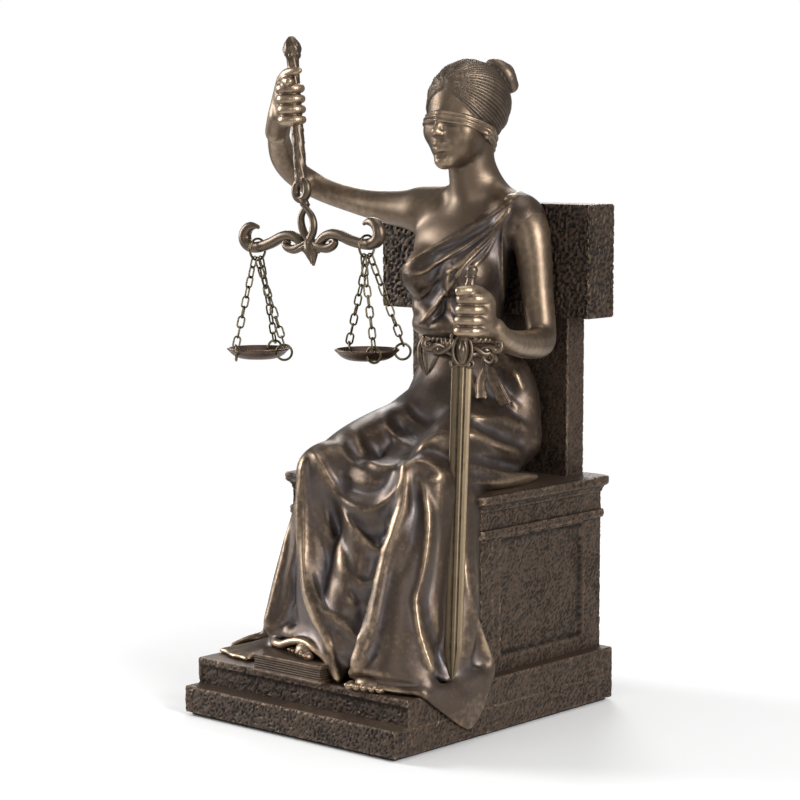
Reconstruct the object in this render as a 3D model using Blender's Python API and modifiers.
# A seated figure of justice on a block throne, with a sword and a balance, in Blender.
# Metres, +Z up. X points to the figure's left, -Y to its front, and the floor is at Z = 0.
import math

import bmesh
import bpy
import numpy as np
from mathutils import Matrix, Vector

for leftover in list(bpy.data.objects):
    bpy.data.objects.remove(leftover, do_unlink=True)

MM = 0.001
CLEARANCE = 0.0003  # air between two pieces that touch

# The stepped base and its felt
BASE_WIDTH = 0.116
BASE_DEPTH = 0.138
FELT_THICKNESS = 0.001
FELT_INSET = 0.002
SLAB_TOP = 0.012
STEP_TOP = 0.0226
STEP_SETBACK = 0.0076
NOSING_THICKNESS = 0.003
NOSING_OVERHANG = 0.0014  # over the riser, at the front only
FLUSH_STEP = 0.0001  # keeps walls that look flush from lying in one plane

# The throne
THRONE_WIDTH = 0.104
THRONE_FRONT = -0.011
THRONE_BACK_INSET = 0.001  # from the back of the base
SEAT_TOP = 0.095
CORNICE_OVERHANG = 0.0035
CORNICE_FRONT_OVERHANG = 0.0022
CORNICE_LIP = 0.003
COVE_HEIGHT = 0.003
BEAD_TOP = 0.081
BEAD_HEIGHT = 0.0035
BEAD_PROUD = 0.0015
PILASTER_WIDTH = 0.0136
PANEL_RECESS = 0.001
PANEL_FOOT = 0.006
POST_WIDTH = 0.086
POST_THICKNESS = 0.0124
BACKREST_WIDTH = 0.1138
BACKREST_THICKNESS = 0.0178
BACKREST_FOOT = 0.1616
BACKREST_TOP = 0.2084

# The book under the right foot
BOOK_WIDTH = 0.0378
BOOK_DEPTH = 0.035
BOOK_THICKNESS = 0.0072
BOOK_MIDDLE_X = -0.0051
BOOK_OVERHANG = 0.0021
BOOK_COVER = 0.0014

# The figure is laid out below in millimetres at this size, and follows the throne
LAYOUT_STEP = 22.6
LAYOUT_SEAT = 95.0
LAYOUT_FRONT = -11.0
LAYOUT_SITTING = 173.0
SITTING_HEIGHT = 0.173  # from the seat to the crown of the head
FIGURE_TRIANGLES = 2450
FIGURE_GRAIN = 0.0075  # of the melted skin, as a share of the sitting height

# The sword
BLADE_WIDTH = 0.008
BLADE_THICKNESS = 0.0026
BLADE_TIP_LENGTH = 0.012
GUARD_LENGTH = 0.031
GUARD_RADIUS = 0.0019
EMBLEM_RADIUS = 0.0042  # of the oval boss in the middle of the guard
EMBLEM_HALF_HEIGHT = 0.0068
GRIP_RADIUS = 0.0021
POMMEL_RADIUS = 0.0032
SWORD_TURN = 38  # degrees from the figure's left to its back

# The balance
ROD_RADIUS = 0.0024
FINIAL_RADIUS = 0.0038
ROD_RING_RADIUS = 0.0033
ROD_RING_WIRE = 0.0013
BEAM_HALF_LENGTH = 0.0395
BEAM_RADIUS = 0.0024
BEAM_TILT = 3  # degrees, the figure's left end up
LOOP_HALF_WIDTH = 0.0036
LOOP_HALF_HEIGHT = 0.0052
LOOP_WIRE = 0.0016
LOOP_FORWARD = 0.001
LOOP_RISE = 0.0092  # of the middle of the loop over the middle of the beam
LOOP_NECK = 0.0018  # radius of the metal between the loop and the ring of the rod
SIDE_LEAF_PLACE = 0.2  # share of the half length of the beam
SIDE_LEAF_RADII = (0.0058, 0.0022, 0.0026)
BALANCE_TRIANGLES = 750
BALANCE_VOXEL = 0.0005
BEAM_RING_RADIUS = 0.00465
RING_WIRE = 0.00052
WIRE_SIDES = 4  # of the thin wires of rings and links
BEAM_RING_SEGMENTS = 10
PAN_RING_SEGMENTS = 12
RING_PLACE = 0.0319  # of each beam ring from the middle of the beam
RING_AIR = 0.0006  # between a ring and the top of the beam
BEAM = [  # share of the half length, lift in millimetres and thickness, from the hook's tip inwards
    (0.77, 8.3, 0.5), (0.84, 8.8, 0.65), (0.93, 8.1, 0.8), (1.0, 6.0, 1.0), (1.0, 2.6, 1.15),
    (0.92, -0.2, 1.12), (0.79, -0.3, 1.0), (0.58, 1.6, 1.0), (0.38, 4.0, 1.0), (0.2, 3.5, 1.1),
    (0.08, 1.5, 1.1),
]

# Chains and pans
LINK_LENGTH = 0.005
LINK_WIDTH = 0.0035
LINK_WIRE = 0.0008  # side of its square section
LINK_CONTACT = 0.00018  # depth to which two links touch
LINK_AIR = 0.0003
LINKS = 9
PAN_RADIUS = 0.0135
PAN_DEPTH = 0.0046
PAN_WALL = 0.0012
PAN_SEGMENTS = 14
PAN_RING_RADIUS = 0.0033
PAN_RING_DROP = 0.0011  # of a ring's middle below the rim
PAN_HOLE_INSET = 0.0018
HOLE_AIR = 0.0006
STRAND_SPREAD = 27  # degrees between strands on a beam ring
STRANDS = {  # place on the beam ring, degrees round the pan, degrees that the pan ring is turned
    "right": [(-1, -101, 60), (0, -3, 45), (1, 114, -42)],
    "left": [(-1, -48, 60), (1, 50, 0), (0, 172, -40)],
}


parts = bpy.data.collections.new("SeatedJustice")
helpers = bpy.data.collections.new("Helpers")
bpy.context.scene.collection.children.link(parts)
bpy.context.scene.collection.children.link(helpers)


def material(name, colour, roughness, metallic):
    made = bpy.data.materials.new(name)
    made.use_nodes = True
    shader = made.node_tree.nodes["Principled BSDF"]
    shader.inputs["Base Color"].default_value = (*colour, 1)
    shader.inputs["Roughness"].default_value = roughness
    shader.inputs["Metallic"].default_value = metallic
    return made


bronze = material("bronze_cast", (0.19, 0.13, 0.085), 0.42, 0.7)
blade_bronze = material("blade_bronze", (0.25, 0.19, 0.11), 0.36, 0.8)
brass = material("antique_brass", (0.27, 0.23, 0.12), 0.38, 0.9)
pan_bronze = material("pan_bronze", (0.16, 0.09, 0.06), 0.4, 0.8)
felt = material("felt_black", (0.012, 0.012, 0.013), 0.95, 0.0)


def new_object(name, mesh, collection=helpers):
    made = bpy.data.objects.new(name, mesh)
    collection.objects.link(made)
    if collection is helpers:
        made.hide_render = True
        made.display_type = "WIRE"
    return made


def finish(obj, name, look):
    """The object becomes a piece: renamed, coloured, smooth over small angles, and shown."""
    helpers.objects.unlink(obj)
    parts.objects.link(obj)
    obj.name = obj.data.name = name
    obj.hide_render = False
    obj.display_type = "TEXTURED"
    obj.data.materials.clear()
    obj.data.materials.append(look)
    obj.data.shade_smooth()
    obj.data.set_sharp_from_angle(angle=math.radians(40))
    return obj


def baked(obj):
    """The mesh of the object with its modifiers applied, in place of the object itself."""
    graph = bpy.context.evaluated_depsgraph_get()
    mesh = bpy.data.meshes.new_from_object(obj.evaluated_get(graph))
    mesh.transform(obj.matrix_world)
    work = bmesh.new()
    work.from_mesh(mesh)
    bmesh.ops.remove_doubles(work, verts=work.verts, dist=2e-6)
    bmesh.ops.recalc_face_normals(work, faces=work.faces)
    work.to_mesh(mesh)
    work.free()
    name = obj.name
    bpy.data.objects.remove(obj, do_unlink=True)
    return new_object(name, mesh)


def boolean(obj, others, operation):
    """One exact Boolean of the object with each of the others, which are used up."""
    for other in others:
        step = obj.modifiers.new(operation.lower(), "BOOLEAN")
        step.operation = operation
        step.solver = "EXACT"
        step.object = other
        bpy.context.view_layer.update()
        obj = baked(obj)
    for other in others:
        bpy.data.objects.remove(other, do_unlink=True)
    return obj


def joined(name, objects):
    """The meshes of the objects in one object, not fused; the objects are used up."""
    work = bmesh.new()
    for obj in objects:
        work.from_mesh(obj.data)
        bpy.data.objects.remove(obj, do_unlink=True)
    mesh = bpy.data.meshes.new(name)
    work.to_mesh(mesh)
    work.free()
    return new_object(name, mesh)


def block(low, high, foot_inset=0.0, rounding=0.0):
    """A box between two corners; foot_inset draws its lower face in, for a cove."""
    low, high = Vector(low), Vector(high)
    work = bmesh.new()
    bmesh.ops.create_cube(work, size=1)
    size, middle = high - low, (high + low) / 2
    for vert in work.verts:
        share = Vector((size[i] * vert.co[i] for i in range(3)))
        if vert.co.z < 0:
            share.x -= math.copysign(foot_inset, vert.co.x)
            share.y -= math.copysign(foot_inset, vert.co.y)
        vert.co = middle + share
    if rounding:
        bmesh.ops.bevel(work, geom=work.edges[:], offset=rounding, segments=2, profile=0.5, affect="EDGES")
    mesh = bpy.data.meshes.new("block")
    work.to_mesh(mesh)
    work.free()
    return new_object("form_block", mesh)


def ball(middle, radii, turn=Matrix.Identity(4), rings=8, segments=12):
    work = bmesh.new()
    bmesh.ops.create_uvsphere(work, u_segments=segments, v_segments=rings, radius=1)
    work.transform(Matrix.Translation(middle) @ turn @ Matrix.Diagonal((*radii, 1)))
    mesh = bpy.data.meshes.new("ball")
    work.to_mesh(mesh)
    work.free()
    return new_object("form_ball", mesh)


def tube(points, closed=False, sides=2, steps=3, kind="BEZIER"):
    """A round bar through (x, y, z, radius) points, with its caps filled and welded."""
    curve = bpy.data.curves.new("form_tube", "CURVE")
    curve.dimensions = "3D"
    curve.bevel_depth = 1.0
    curve.bevel_resolution = sides
    curve.resolution_u = steps
    curve.use_fill_caps = not closed
    spline = curve.splines.new(kind)
    row = spline.bezier_points if kind == "BEZIER" else spline.points
    row.add(len(points) - 1)
    for point, (x, y, z, radius) in zip(row, points):
        point.co = (x, y, z) if kind == "BEZIER" else (x, y, z, 1)
        point.radius = radius
        if kind == "BEZIER":
            point.handle_left_type = point.handle_right_type = "AUTO"
    spline.use_cyclic_u = closed
    made = bpy.data.objects.new("form_tube", curve)
    helpers.objects.link(made)
    bpy.context.view_layer.update()
    return baked(made)


def wire_loop(points, normal, wire, sides):
    """A closed loop of square or round wire through flat points, with no seam."""
    work = bmesh.new()
    rows = []
    spread = wire / math.cos(math.pi / sides)
    for i, point in enumerate(points):
        before = (point - points[i - 1]).normalized().cross(normal)
        after = (points[(i + 1) % len(points)] - point).normalized().cross(normal)
        out = (before + after) / (1 + before.dot(after))  # a mitre, so that the bars keep their width
        row = []
        for j in range(sides):
            around = 2 * math.pi * (j + 0.5) / sides
            row.append(work.verts.new(point + spread * (out * math.cos(around) + normal * math.sin(around))))
        rows.append(row)
    for a, b in zip(rows, rows[1:] + rows[:1]):
        for j in range(sides):
            work.faces.new((a[j], b[j], b[(j + 1) % sides], a[(j + 1) % sides]))
    bmesh.ops.recalc_face_normals(work, faces=work.faces)
    mesh = bpy.data.meshes.new("wire")
    work.to_mesh(mesh)
    work.free()
    return new_object("form_wire", mesh)


def ring(middle, radius, wire, across, up, segments, sides, stretch=1.0):
    """A wire ring in the plane of two directions; stretch lengthens it along up."""
    across, up = Vector(across).normalized(), Vector(up).normalized()
    points = []
    for i in range(segments):
        around = 2 * math.pi * (i + 0.5) / segments
        points.append(Vector(middle) + radius * (across * math.cos(around) + up * stretch * math.sin(around)))
    area_match = math.sqrt(math.pi / (sides * math.tan(math.pi / sides)))  # as much metal as a round wire
    return wire_loop(points, across.cross(up), wire * area_match, sides)


def base_and_throne():
    """Slab, step, seat block, post, backrest and book, fused."""
    half_width, half_depth = BASE_WIDTH / 2, BASE_DEPTH / 2
    floor = FELT_THICKNESS + CLEARANCE
    back = half_depth - THRONE_BACK_INSET
    seat = THRONE_WIDTH / 2
    tread = -half_depth + STEP_SETBACK
    under = STEP_TOP - NOSING_THICKNESS
    cast = block((-half_width, -half_depth, floor), (half_width, half_depth, SLAB_TOP), rounding=0.0008)
    riser = block(
        (-half_width + FLUSH_STEP, tread + NOSING_OVERHANG, SLAB_TOP - 2 * MM),
        (half_width - FLUSH_STEP, half_depth - FLUSH_STEP, under + MM),
    )
    nosing = block((-half_width, tread, under), (half_width, half_depth, STEP_TOP), rounding=0.0008)
    throne = block((-seat, THRONE_FRONT, under), (seat, back, SEAT_TOP - MM))
    lip = SEAT_TOP - CORNICE_LIP
    out = CORNICE_OVERHANG
    front = THRONE_FRONT - CORNICE_FRONT_OVERHANG
    cornice = block((-seat - out, front, lip), (seat + out, back + 0.5 * MM, SEAT_TOP), rounding=0.0007)
    cove = block(
        (-seat - out + MM, front + MM, lip - COVE_HEIGHT),
        (seat + out - MM, back - 0.4 * MM, lip + MM),
        foot_inset=out - 1.5 * MM,
    )
    proud = BEAD_PROUD
    bead = block(
        (-seat - proud, THRONE_FRONT - proud, BEAD_TOP - BEAD_HEIGHT),
        (seat + proud, back + 0.3 * MM, BEAD_TOP),
        rounding=0.001,
    )
    post = block(
        (-POST_WIDTH / 2, back - POST_THICKNESS, SEAT_TOP - 2 * MM),
        (POST_WIDTH / 2, back - 0.7 * MM, BACKREST_FOOT + 2 * MM),
    )
    rest = block(
        (-BACKREST_WIDTH / 2, back + 0.8 * MM - BACKREST_THICKNESS, BACKREST_FOOT),
        (BACKREST_WIDTH / 2, back + 0.8 * MM, BACKREST_TOP),
        rounding=0.0009,
    )
    cast = boolean(cast, [riser, nosing, throne, cove, cornice, bead, post, rest, *book(tread)], "UNION")
    return boolean(cast, panel_cutters(seat), "DIFFERENCE")


def panel_cutters(seat):
    """The sunk panels between the pilasters, on both sides and the front of the seat block."""
    foot, head = STEP_TOP + PANEL_FOOT, BEAD_TOP - BEAD_HEIGHT - 0.4 * MM
    back = BASE_DEPTH / 2 - THRONE_BACK_INSET
    start, end = THRONE_FRONT + PILASTER_WIDTH, back - PILASTER_WIDTH
    cutters = []
    for side in (-1, 1):
        inner, outer = side * (seat - PANEL_RECESS), side * (seat + 2 * MM)
        cutters.append(block((min(inner, outer), start, foot), (max(inner, outer), end, head)))
    across = seat - PILASTER_WIDTH
    cutters.append(
        block((-across, THRONE_FRONT - 2 * MM, foot), (across, THRONE_FRONT + PANEL_RECESS, head))
    )
    return cutters


def book(tread):
    """Two covers that stand proud of the block of pages."""
    left, right = BOOK_MIDDLE_X - BOOK_WIDTH / 2, BOOK_MIDDLE_X + BOOK_WIDTH / 2
    front = tread - BOOK_OVERHANG
    back = front + BOOK_DEPTH
    foot, top = STEP_TOP - 0.5 * MM, STEP_TOP + BOOK_THICKNESS
    inset = 0.9 * MM
    pages = block((left + inset, front + inset, foot), (right - inset, back - inset, top - 0.5 * MM))
    lower = block((left, front, foot - 0.4 * MM), (right, back, STEP_TOP + BOOK_COVER))
    upper = block((left, front, top - BOOK_COVER), (right, back, top))
    return [pages, lower, upper]


def place(x, y, z):
    """A point of the figure's layout, moved to the throne: legs fit between step and seat."""
    scale = SITTING_HEIGHT / LAYOUT_SITTING
    if z < LAYOUT_SEAT:
        height = STEP_TOP + (z - LAYOUT_STEP) / (LAYOUT_SEAT - LAYOUT_STEP) * (SEAT_TOP - STEP_TOP)
    else:
        height = SEAT_TOP + (z - LAYOUT_SEAT) * scale
    return Vector((x * scale, THRONE_FRONT + (y - LAYOUT_FRONT) * scale, height))


def limb(points, sides=2, steps=3):
    """A tapered round form through layout points (x, y, z, radius)."""
    scale = SITTING_HEIGHT / LAYOUT_SITTING
    return tube([(*place(x, y, z), radius * scale) for x, y, z, radius in points], False, sides, steps)


def lump(x, y, z, across, deep, high, turn=0.0):
    """An ellipsoid of the figure, turned about the vertical by some degrees."""
    scale = SITTING_HEIGHT / LAYOUT_SITTING
    spin = Matrix.Rotation(math.radians(turn), 4, "Z")
    return ball(place(x, y, z), (across * scale, deep * scale, high * scale), spin)


def swag(start, end, sag, forward, radius):
    """A fold that hangs between two layout points, fullest in its middle."""
    points = []
    for t in (0.0, 0.2, 0.4, 0.6, 0.8, 1.0):
        hang = 4 * t * (1 - t)
        x, y, z = (a + (b - a) * t for a, b in zip(start, end))
        points.append((x, y - forward * hang, z - sag * hang, radius * (0.55 + 0.45 * hang)))
    return limb(points, 1, 2)


def head_and_neck():
    turn = 10
    forms = [limb([(2.5, 46, 203, 12), (2.2, 45, 211, 10), (1.6, 43, 219, 9.3), (2, 40, 234, 9.5)])]
    forms.append(lump(3.5, 40.3, 250.3, 16.7, 18.8, 17.6, turn))
    forms.append(lump(4.6, 32.5, 239.5, 13.2, 13.4, 13.5, turn))
    forms.append(lump(5.8, 26, 230.5, 7, 6.5, 6.6, turn))
    forms.append(limb([(6.7, 20.5, 247, 1.6), (7.1, 18.2, 241, 2), (6.9, 18.9, 239.3, 2.2)], 1, 2))
    forms.append(lump(6.6, 21.5, 233.2, 3.6, 2.6, 2.4, turn))
    forms.append(lump(7, 55.5, 260, 7.8, 8.4, 9.2, turn))
    forms.append(lump(3.4, 52, 243, 12, 9, 12, turn))
    band = []
    for i in range(12):
        ahead = -math.cos(math.radians(30 * i))
        x, y = 16 * math.sin(math.radians(30 * i)), 18 * ahead
        band.append((3.6 + x * math.cos(math.radians(turn)), 39.8 + y + 0.17 * x, 244.5 - 4 * ahead, 1.1))
    forms.append(tube([(*place(x, y, z), r * MM) for x, y, z, r in band], True, 1, 2))
    return forms


TORSO_FLATNESS = 0.66  # depth of the trunk as a share of its width
TORSO = [  # layout x, y, z of the middle and half width, from the seat to the neck
    (3, 40, 99, 28), (3, 40, 112, 29), (2, 39.5, 128, 23), (0.5, 39, 140, 18.4), (0, 38.5, 150, 17),
    (0, 38, 160, 18.6), (-0.5, 37.8, 172, 21.5), (-0.5, 38.5, 184, 23.8), (0, 40.5, 196, 24.5),
    (1, 43, 204, 20), (1.5, 45, 210, 11),
]
BREASTS = [(-11, 180), (12, 180)]  # layout x and z


def chest_front(x, z):
    """The layout y of the front of the trunk, breasts included, at x and z."""
    rows = np.array(TORSO, float)
    middle_x, middle_y, half = (np.interp(z, rows[:, 2], rows[:, i]) for i in (0, 1, 3))
    across = min(abs(x - middle_x) / half, 0.97)
    depth = TORSO_FLATNESS * half * math.sqrt(1 - across * across)
    swell = sum(math.exp(-((x - u) ** 2 + (z - w) ** 2) / 90) for u, w in BREASTS)
    return middle_y - depth - 6.2 * swell


def pleat(start, end, sag, radius, sink=0.1):
    """A fold that follows the front of the trunk from one (x, z) to another."""
    points = []
    for t in (0.0, 0.17, 0.34, 0.5, 0.67, 0.84, 1.0):
        x = start[0] + (end[0] - start[0]) * t
        z = start[1] + (end[1] - start[1]) * t - 4 * sag * t * (1 - t)
        points.append((x, chest_front(x, z) + sink * radius, z, radius * (0.6 + 1.2 * t * (1 - t))))
    return limb(points, 1, 2)


def torso():
    core = limb([(x, LAYOUT_FRONT + (y - LAYOUT_FRONT) / TORSO_FLATNESS, z, r) for x, y, z, r in TORSO], 4, 3)
    squash = Matrix.Translation((0, THRONE_FRONT, 0)) @ Matrix.Diagonal((1, TORSO_FLATNESS, 1, 1))
    core.data.transform(squash @ Matrix.Translation((0, -THRONE_FRONT, 0)))
    forms = [core]
    for x, z in BREASTS:
        forms.append(lump(x, chest_front(x, z) + 9, z - 0.5, 10.5, 9, 10.5))
        forms.append(lump(x, chest_front(x, z) + 6.6, z - 1, 7, 6.5, 7.5))
    forms.append(lump(2, 41, 110, 33, 20, 17))
    forms.append(lump(1.5, 30, 133, 13, 7, 14))
    forms.append(limb([(-26, 44, 204, 8.6), (-8, 46.5, 207.5, 6), (3, 47, 208, 6), (26, 45, 202, 8.8)]))
    forms.append(pleat((22, 208), (-21, 186), 5, 1.9, -0.1))
    for i in range(7):  # pleats of the bodice, from the left shoulder to the right side and the belt
        share = i / 6
        start = (21 + 3 * share, 206 - 9 * share)
        end = (-20 + 33 * share, 178 - 22 * share + 8 * share * share)
        forms.append(pleat(start, end, 4 - 5 * share, 1.7))
    for x in (-15, -9, -2, 5):  # blouse over the belt
        forms.append(pleat((x + 4, 168), (x, 157), 1, 2.2))
    forms.append(lump(24.5, 41.5, 211, 3, 3, 2.4))
    for height in (146.5, 152.5):  # the belt
        loop = []
        for i in range(10):
            angle = 2 * math.pi * i / 10
            x, y = 17.6 * math.cos(angle), 38.3 + 12.6 * math.sin(angle)
            loop.append((*place(x, y, height), 1.3 * MM))
        forms.append(tube(loop, True, 1, 2))
    return forms


def arms():
    right = [
        (-16, 44, 203, 9.6), (-28, 43, 204.5, 9.2), (-40, 42.3, 205.2, 7.8), (-52, 41.3, 206.4, 6.6),
        (-64, 40.5, 208.4, 5.8), (-77, 39.2, 211.5, 5.5), (-86, 37, 215.2, 5.7), (-89, 29.5, 220.2, 5.8),
        (-86.5, 20, 227, 5.8), (-80.5, 11, 235, 4.9), (-75, 5.5, 240.5, 4.4), (-70.5, 1.5, 246, 5),
    ]
    left = [
        (22, 44.5, 202, 8.8), (30.5, 44, 199, 8.6), (34, 43.5, 190, 7.7), (36.5, 43, 174, 6.8),
        (39.5, 42, 158, 6.3), (43, 37, 152.5, 6.2), (48, 23, 152.8, 5.9), (53.5, 6, 155, 5),
        (57, -5, 158.5, 4.4), (58, -11, 163.5, 4.8),
    ]
    forms = [limb(right), limb(left)]
    forms += fist((-60.2, 0, 249.5), (-2, 0, 27), (-8.5, 2.5), 2.3)
    forms += fist((52.4, -19.2, 167.5), (1.5, 2, 27), (5.5, 6), 2.2)
    return forms


def fist(middle, along, palm, finger):
    """Four fingers bent round a bar through the middle, with the palm on one side of it."""
    middle, along = Vector(middle), Vector(along).normalized()
    back = Vector((*palm, 0)).normalized()
    side = along.cross(back)
    forms = [lump(*(middle + back * 4.8), 4.8, 4.8, 8.4)]
    for i in range(4):
        level = middle + along * (1.5 - i) * finger * 1.85
        path = []
        for angle in (30, 75, 120, 165, 205):
            turn = math.radians(angle)
            reach = 4.3 if angle < 160 else 3.6
            path.append((*(level + (back * math.cos(turn) + side * math.sin(turn)) * reach), finger))
        forms.append(limb(path, 1, 2))
    thumb = [(*(middle + back * 6 + along * 5), 3), (*(middle + along * 9.5 - side * 3), 2.3)]
    forms.append(limb([*thumb, (*(middle + along * 9.3 - side * 1 - back * 5), 1.8)], 1, 2))
    return forms


def legs():
    forms = [limb([(-13, 40, 112, 17), (-12, 12, 111, 16), (-10, -14, 107, 13.8), (-8.5, -32, 100.5, 12.2)])]
    forms.append(limb([(16, 40, 112, 17), (27, 10, 111, 16), (37, -16, 106, 13.5), (40.5, -27, 99.5, 11)]))
    forms.append(limb([(-8.5, -33, 99, 11.8), (-8, -39, 72, 10.5), (-4, -43, 46, 8.5), (-2, -47, 37, 7)]))
    forms.append(limb([(41, -28, 98, 11), (41, -34, 72, 10.5), (41, -41, 44, 10), (42, -47, 32, 8)]))
    forms.append(limb([(3, 12, 106, 13), (15, -14, 100, 12), (17, -24, 93, 12)]))
    forms.append(limb([(-5, -33, 99, 9), (17, -31, 96, 10), (37, -30, 98, 9)]))
    return forms


def skirt():
    """The cloth round the shins, as full forms with the folds on them."""
    forms = [limb([(17, -29, 93, 13), (17, -34, 70, 13), (17, -38, 48, 14), (17, -41, 33, 13.5)])]
    forms.append(limb([(-16, -22, 96, 13), (-20, -26, 70, 14.5), (-25, -29, 48, 16), (-29, -32, 34, 14)]))
    forms.append(limb([(42, -20, 95, 10), (43, -22, 70, 10), (45, -24, 48, 10.5), (48, -28, 34, 9)]))
    for share in (0, 0.2, 0.4, 0.6, 0.8):  # folds fanned out from the right knee to the step
        top = (-23 + 9 * share, -22 - 20 * share, 97 + 3 * share)
        foot = (-52 + 32 * share, -24 - 25 * share, 29 + 7 * share)
        middle = [(a + b) / 2 - (2 if i == 0 else 0) for i, (a, b) in enumerate(zip(top, foot))]
        forms.append(limb([(*top, 3.4), (*middle, 3.2), (*foot, 4.2)], 1))
    right_leg = [(-12.5, -43, 103, 3.5), (-11.5, -46.5, 88, 3.2), (-8, -49, 71, 3.4), (-2.5, -52.5, 55, 3.6)]
    right_leg += [(5, -55, 46, 3.6), (14, -57.5, 38, 3.4), (19, -60, 31, 3.2)]
    forms.append(limb(right_leg, 1))
    left_edge = [(41.5, -43, 108, 3), (41.5, -45, 96, 3), (39, -46, 84, 3.4), (36.5, -48, 72, 3.8)]
    left_edge += [(35, -51.5, 58, 4), (33, -55.5, 46, 4), (31.5, -59.5, 34, 3.6), (31, -61.5, 28, 3)]
    forms.append(limb(left_edge, 1))
    right_edge = [(50, -36, 103, 3.4), (50.5, -40, 90, 3), (51.5, -41, 75, 3), (49, -42.5, 62, 3.2)]
    right_edge += [(48.5, -44, 52, 3.4), (52, -46, 41, 3.4), (56, -49, 30, 3)]
    forms.append(limb(right_edge, 1))
    forms.append(limb([(43, -40, 74, 8), (42.5, -43, 56, 9), (43, -47, 42, 10), (44, -50, 32, 9)]))
    forms.append(swag((-9, -42, 108), (40, -44, 106), 15, 4, 2.8))
    forms.append(swag((-10, -43, 104), (39, -46, 92), 21, 5, 2.8))
    forms.append(swag((-9, -47, 88), (37, -49, 74), 27, 5, 2.6))
    forms.append(swag((-5, -50, 68), (35, -52, 58), 18, 4, 2.6))
    forms.append(swag((2, -53, 50), (33, -56, 46), 8, 3, 2.8))
    return forms


def hem():
    """The foot of the skirt: trail on the right, double hem and the corner over the base."""
    forms = [limb([(-30, -34, 29, 7), (-44, -34, 27, 5), (-55, -36, 25.5, 3)], 1)]
    forms.append(limb([(-40, -26, 29, 6), (-52, -24, 27, 4.5)], 1))
    edge = [(31, -61, 27.5, 2.6), (44, -60, 27, 2.8), (56, -54, 26.5, 2.8), (59, -46, 24, 2.4)]
    forms.append(limb(edge, 1))
    forms.append(limb([(57, -46, 27, 3), (59, -40, 18, 2.4), (59.5, -36, 12.5, 1.6)], 1))
    rear = [(57.5, -17, 46, 2.2), (59.5, -15, 34, 2), (60, -14.5, 27, 1.6), (59.8, -24, 18, 1.6)]
    forms.append(limb([*rear, (59.6, -34, 12.5, 1.5)], 1))
    for share in (0, 0.14, 0.28, 0.42, 0.57, 0.71, 0.86, 1):  # the corner over the side of the base
        y = -49 + 34 * share
        low = 9 + 60 * (share - 0.5) ** 2
        path = [(54, y + 2, 26, 2.6), (58, y, 24.5, 2.3), (59, 0.7 * y - 9.4, (24 + low) / 2, 2)]
        forms.append(limb([*path, (59.2, 0.45 * y - 17, low, 1.6)], 1))
    forms.append(limb([(54, -21, 92, 3.2), (56, -21, 70, 3), (57.5, -19, 52, 2.8), (58.5, -17, 36, 2.6)], 1))
    forms.append(limb([(49, -22, 80, 5), (51, -23, 55, 5.5), (54, -28, 34, 4.5)]))
    return forms


def skirt_back():
    """Upright rolls of cloth that close the room between the legs and the throne."""
    return [limb([(x, -13, 90, 8), (x, -14, 29, 8)], 1, 1) for x in (-36, -25, -14, -3, 8, 19, 30, 41)]


def lap():
    """Folds over the lap and along the left thigh, with the hem on the seat."""
    forms = [swag((-24, 4, 116), (22, 8, 121), 5, 3, 2.6), swag((-22, -12, 117), (30, -4, 119), 7, 3, 2.6)]
    forms.append(swag((-18, -27, 114), (36, -22, 116), 8, 2, 2.8))
    folds = [
        [(46, -24, 108, 3), (46, -10, 105, 3), (44, 8, 101, 3), (42, 26, 98.5, 2.6), (40, 38, 97.5, 2)],
        [(44, -12, 116, 3), (43, 6, 112, 3), (41, 22, 108, 3), (37, 38, 107, 2.6)],
        [(42, -6, 124, 2.6), (42, 4, 122, 2.6), (39, 18, 120, 2.8), (35, 38, 117, 2.6)],
    ]
    forms += [limb(fold, 1) for fold in folds]
    forms.append(limb([(30, 30, 103, 8), (34, 10, 103, 9), (38, -8, 100, 10)]))
    forms.append(limb([(-28, 34, 103, 8), (-27, 14, 103, 9), (-24, -8, 101, 10)]))
    for share in (0, 0.5, 1):  # ends of the ribbon, down the left hip
        tail = [(16 + 6 * share, 26, 148, 1.6), (22 + 7 * share, 24, 137, 1.8)]
        tail.append((25 + 9 * share, 26, 126, 1.6))
        forms.append(limb(tail, 1))
    return forms


def feet():
    forms = [lump(-1.5, -49, 33.8, 7, 10.5, 4.5, -10), lump(35, -54, 26.5, 8, 10, 4)]
    for i in range(5):
        size = 1.9 - 0.22 * i
        forms.append(lump(2.4 - 3.0 * i, -58.4 + 1.1 * i, 31.6, size, 2.8, size))
        forms.append(lump(28.6 + 3.3 * i, -62.4 + 0.6 * i, 24.4, size, 2.6, size))
    return forms


def melted(forms, grain, softening, triangles):
    """The forms as one body with soft joints, thinned to a number of triangles."""
    body = joined("melted", forms)
    melt = body.modifiers.new("melt", "REMESH")
    melt.mode = "VOXEL"
    melt.voxel_size = grain
    soft = body.modifiers.new("soften", "SMOOTH")
    soft.factor = 0.5
    soft.iterations = softening
    body = baked(body)
    count = sum(len(face.vertices) - 2 for face in body.data.polygons)
    thin = body.modifiers.new("thin", "DECIMATE")
    thin.ratio = triangles / count
    return baked(body)


def figure():
    dress = [*skirt(), *skirt_back(), *hem(), *lap()]
    forms = [*head_and_neck(), *torso(), *arms(), *legs(), *dress, *feet()]
    return melted(forms, FIGURE_GRAIN * SITTING_HEIGHT, 3, FIGURE_TRIANGLES)


def sword_axis():
    """Tip, guard and pommel of the sword in the world."""
    return place(57.8, -35.4, 25.6), place(50.5, -21, 153.5), place(53, -18, 186.5)


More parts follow.
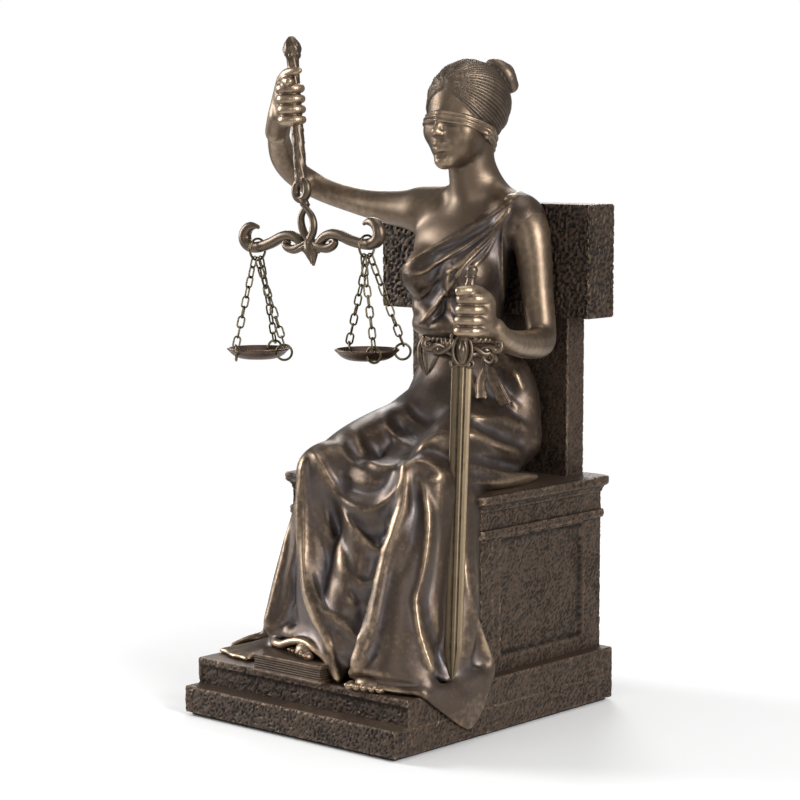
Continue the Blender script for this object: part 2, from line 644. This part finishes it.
def sword_forms(grow):
    """Blade, guard, grip and pommel, each grown on all sides by the same air."""
    tip, guard, pommel = sword_axis()
    turn = math.radians(SWORD_TURN)
    up = (guard - tip).normalized()
    flat = Vector((math.cos(turn), math.sin(turn), 0))
    flat = (flat - up * flat.dot(up)).normalized()
    face = up.cross(flat)
    length = (guard - tip).length
    work = bmesh.new()
    rows = []
    for height, share in ((-grow, 0.12), (BLADE_TIP_LENGTH, 0.86), (length, 1.0)):
        wide, thick = BLADE_WIDTH / 2 * share + grow, BLADE_THICKNESS / 2 * max(share, 0.5) + grow
        middle = tip + up * height
        corners = [(wide, 0), (wide * 0.45, thick), (-wide * 0.45, thick), (-wide, 0)]
        corners += [(-wide * 0.45, -thick), (wide * 0.45, -thick)]
        rows.append([work.verts.new(middle + flat * a + face * b) for a, b in corners])
    for a, b in zip(rows[:-1], rows[1:]):
        for j in range(6):
            work.faces.new((a[j], a[(j + 1) % 6], b[(j + 1) % 6], b[j]))
    work.faces.new(rows[0][::-1])
    work.faces.new(rows[-1])
    bmesh.ops.recalc_face_normals(work, faces=work.faces)
    mesh = bpy.data.meshes.new("blade")
    work.to_mesh(mesh)
    work.free()
    forms = [new_object("form_blade", mesh)]
    half = GUARD_LENGTH / 2
    arm = [(-1, 1.1, 2), (-0.8, 1.2, 1.2), (-0.35, 0.9, 0), (0.35, 0.9, 0), (0.8, 1.2, 1.2), (1, 1.1, 2)]
    bar = []
    for share, thick, lift in arm:
        middle = guard + flat * half * share + Vector((0, 0, lift * MM))
        bar.append((*middle, GUARD_RADIUS * thick + grow))
    forms.append(tube(bar, False, 1, 1))
    emblem = (EMBLEM_RADIUS + grow, EMBLEM_RADIUS + grow, EMBLEM_HALF_HEIGHT + grow)
    forms.append(ball(guard, emblem, rings=6, segments=8))
    axis = pommel - guard
    grip = [(0, 1.25), (0.2, 1), (0.5, 1.05), (0.78, 0.85), (0.86, 1.1)]
    grip += [(0.94, POMMEL_RADIUS / GRIP_RADIUS), (1, 0.7)]
    forms.append(tube([(*(guard + axis * a), GRIP_RADIUS * b + grow) for a, b in grip], False, 1, 1))
    return forms


def fused(forms):
    return boolean(forms[0], forms[1:], "UNION")


def balance_axis():
    """Top of the rod, middle of its ring and middle of the beam in the world."""
    return place(-61.7, 0, 276), place(-56.4, 0, 213.5), place(-50.8, 0, 190.4)


def rod_forms(grow):
    top, eye, _ = balance_axis()
    down = eye - top
    profile = [(-0.03, 0.6), (0.0, 1.25), (0.05, FINIAL_RADIUS / ROD_RADIUS), (0.13, 1.35)]
    profile += [(0.2, 1), (0.6, 0.92), (0.93, 1.05)]
    return [tube([(*(top + down * a), ROD_RADIUS * b + grow) for a, b in profile], False, 1, 1)]


def beam_point(share, lift):
    """A point of the tilted beam, by share of its half length and lift above its line."""
    middle, tilt = balance_axis()[2], math.radians(BEAM_TILT)
    along, up = Vector((math.cos(tilt), 0, math.sin(tilt))), Vector((-math.sin(tilt), 0, math.cos(tilt)))
    return middle + along * BEAM_HALF_LENGTH * share + up * lift


def balance():
    """Rod, ring, loop and leaf-shaped beam, melted into one casting."""
    _, eye, middle = balance_axis()
    forms = rod_forms(0)
    forms.append(ring(eye, ROD_RING_RADIUS, ROD_RING_WIRE, (1, 0, 0.1), (0, 0, 1), 16, 8, 1.1))
    loop = middle + Vector((-LOOP_FORWARD / 2, -LOOP_FORWARD, LOOP_RISE))
    neck = eye - Vector((0, 0, ROD_RING_RADIUS))
    top = loop + Vector((-0.8 * LOOP_FORWARD, 0, LOOP_HALF_HEIGHT))
    forms.append(tube([(*neck, LOOP_NECK), (*top, LOOP_NECK)]))
    stretch = LOOP_HALF_HEIGHT / LOOP_HALF_WIDTH
    forms.append(ring(loop, LOOP_HALF_WIDTH, LOOP_WIRE, (1, 0, 0), (-0.16, 0, 1), 20, 8, stretch))
    bar = [(-share, lift, thick) for share, lift, thick in BEAM] + BEAM[::-1]
    forms.append(tube([(*beam_point(share, lift * MM), BEAM_RADIUS * thick) for share, lift, thick in bar]))
    leaf = [(5, 2.6), (0, 3.4), (-4.5, 2.2), (-8, 0.8)]
    forms.append(tube([(middle.x, middle.y - LOOP_FORWARD, middle.z + h * MM, r * MM) for h, r in leaf]))
    for side in (-1, 1):
        forms.append(ball(beam_point(side * SIDE_LEAF_PLACE, -1.2 * MM), SIDE_LEAF_RADII))
    return melted(forms, BALANCE_VOXEL, 2, BALANCE_TRIANGLES)


def beam_ring_middle(side):
    """A ring rests on the top of the beam, so its middle hangs below the beam's."""
    share = RING_PLACE / BEAM_HALF_LENGTH
    arm = sorted(row for row in BEAM if row[1] < 5)
    shares = [row[0] for row in arm]
    lift, thick = (np.interp(share, shares, [row[i] for row in arm]) for i in (1, 2))
    top = beam_point(side * share, lift * MM + BEAM_RADIUS * thick)
    return top - Vector((0, 0, BEAM_RING_RADIUS - RING_WIRE - RING_AIR))


def pan_height():
    """Height of the rims below the beam rings, for strands of the nominal link."""
    strand = LINK_LENGTH + (LINKS - 1) * (LINK_LENGTH - 2 * LINK_WIRE + LINK_CONTACT)
    return math.sqrt(strand ** 2 - PAN_RADIUS ** 2)


def strand_ends(side, order, angle, turn):
    """The beam ring's wire, the pan ring's middle and the pan ring's plane for one strand."""
    hub = beam_ring_middle(side)
    lean = math.radians(STRAND_SPREAD * order)
    start = hub + BEAM_RING_RADIUS * Vector((0, math.sin(lean), -math.cos(lean)))
    rim = hub.z - BEAM_RING_RADIUS - pan_height() - PAN_RING_RADIUS
    hole = Vector((hub.x, hub.y, rim - PAN_RING_DROP)) + pan_hole(angle)
    away = Vector((math.cos(math.radians(angle + turn)), math.sin(math.radians(angle + turn)), 0))
    return start, hole + away * PAN_RING_RADIUS, away, rim


def pan_hole(angle):
    reach = PAN_RADIUS - PAN_HOLE_INSET
    return Vector((math.cos(math.radians(angle)), math.sin(math.radians(angle)), 0)) * reach


def chain(wire_above, wire_below, plane_below):
    """A strand of links between two wires, twisted evenly and fused where links touch."""
    along = (wire_below - wire_above).normalized()
    hold = RING_WIRE + LINK_AIR + LINK_WIRE
    top, foot = wire_above - along * hold, wire_below + along * hold
    overlap = 2 * LINK_WIRE - LINK_CONTACT
    length = ((foot - top).length + (LINKS - 1) * overlap) / LINKS
    across = along.cross(Vector((0, 1, 0))).normalized()
    last = along.cross(plane_below).normalized()
    twist = math.atan2(along.dot(across.cross(last)), across.dot(last))
    twist = (twist + math.pi / 2) % math.pi - math.pi / 2
    half_width, half = (LINK_WIDTH - LINK_WIRE) / 2, (length - LINK_WIRE) / 2
    links = []
    for i in range(LINKS):
        middle = top + along * (length / 2 + i * (length - overlap))
        turn = twist * i / (LINKS - 1) + (math.pi / 2 if i % 2 else 0)
        side = Matrix.Rotation(turn, 3, along) @ across
        corners = [(0.62, 1), (-0.62, 1), (-1, 0), (-0.62, -1), (0.62, -1), (1, 0)]
        points = [middle + side * half_width * a + along * half * b for a, b in corners]
        links.append(wire_loop(points, side.cross(along), LINK_WIRE / 2, WIRE_SIDES))
    return fused(links)


def pan(middle, angles):
    """A shallow dish, open at the top, with a hole for each ring near its rim."""
    curve = [(0, 0), (0.5, 0.02), (0.82, 0.34), (1, 1)]
    outer = [(PAN_RADIUS * a, -PAN_DEPTH * (1 - b)) for a, b in curve]
    hollow = PAN_DEPTH - PAN_WALL
    inner = [((PAN_RADIUS - PAN_WALL) * a, hollow * (b - 1)) for a, b in curve]
    work = bmesh.new()
    verts = [work.verts.new(middle + Vector((r, 0, z))) for r, z in inner + outer[::-1]]
    for a, b in zip(verts[:-1], verts[1:]):
        work.edges.new((a, b))
    geometry = work.verts[:] + work.edges[:]
    whole = {"cent": middle, "axis": (0, 0, 1), "angle": 2 * math.pi, "use_merge": True}
    bmesh.ops.spin(work, geom=geometry, steps=PAN_SEGMENTS, **whole)
    bmesh.ops.remove_doubles(work, verts=work.verts, dist=2e-6)
    bmesh.ops.recalc_face_normals(work, faces=work.faces)
    mesh = bpy.data.meshes.new("pan")
    work.to_mesh(mesh)
    work.free()
    dish = new_object("form_pan", mesh)
    drills = []
    for angle in angles:
        spot = middle + pan_hole(angle)
        half = RING_WIRE + HOLE_AIR
        bore = [(spot.x, spot.y, spot.z + reach * PAN_DEPTH, half) for reach in (-2, 1)]
        drills.append(tube(bore, False, 1, 1, "POLY"))
    return boolean(dish, drills, "DIFFERENCE")


def felt_pad():
    half_width, half_depth = BASE_WIDTH / 2 - FELT_INSET, BASE_DEPTH / 2 - FELT_INSET
    return block((-half_width, -half_depth, 0), (half_width, half_depth, FELT_THICKNESS))


def largest_body(obj):
    """Drops crumbs that a Boolean cut free, so that the casting is one body."""
    work = bmesh.new()
    work.from_mesh(obj.data)
    left, bodies = set(work.verts), []
    while left:
        body, edge = set(), [left.pop()]
        while edge:
            vert = edge.pop()
            body.add(vert)
            near = {other for e in vert.link_edges for other in e.verts} & left
            left -= near
            edge.extend(near)
        bodies.append(body)
    bodies.sort(key=len)
    bmesh.ops.delete(work, geom=[vert for body in bodies[:-1] for vert in body], context="VERTS")
    work.to_mesh(obj.data)
    work.free()
    return obj


def statue():
    cast = boolean(base_and_throne(), [figure()], "UNION")
    cast = boolean(cast, [*sword_forms(CLEARANCE), *rod_forms(CLEARANCE)], "DIFFERENCE")
    return largest_body(cast)


def main():
    finish(statue(), "statue", bronze)
    finish(fused(sword_forms(0)), "sword", blade_bronze)
    finish(balance(), "balance", bronze)
    finish(felt_pad(), "felt_pad", felt)
    for side, name in ((1, "left"), (-1, "right")):
        hub = beam_ring_middle(side)
        across, up = (0, 1, 0), (0, 0, 1)
        hanger = ring(hub, BEAM_RING_RADIUS, RING_WIRE, across, up, BEAM_RING_SEGMENTS, WIRE_SIDES)
        finish(hanger, f"beam_ring_{name}", brass)
        angles = []
        for number, (order, angle, turn) in enumerate(STRANDS[name], 1):
            start, eye, plane, rim = strand_ends(side, order, angle, turn)
            small = ring(eye, PAN_RING_RADIUS, RING_WIRE, plane, up, PAN_RING_SEGMENTS, WIRE_SIDES)
            finish(small, f"pan_ring_{name}_{number}", brass)
            top = eye + Vector((0, 0, PAN_RING_RADIUS))
            finish(chain(start, top, plane), f"chain_{name}_{number}", brass)
            angles.append(angle)
        finish(pan(Vector((hub.x, hub.y, rim)), angles), f"pan_{name}", pan_bronze)


main()
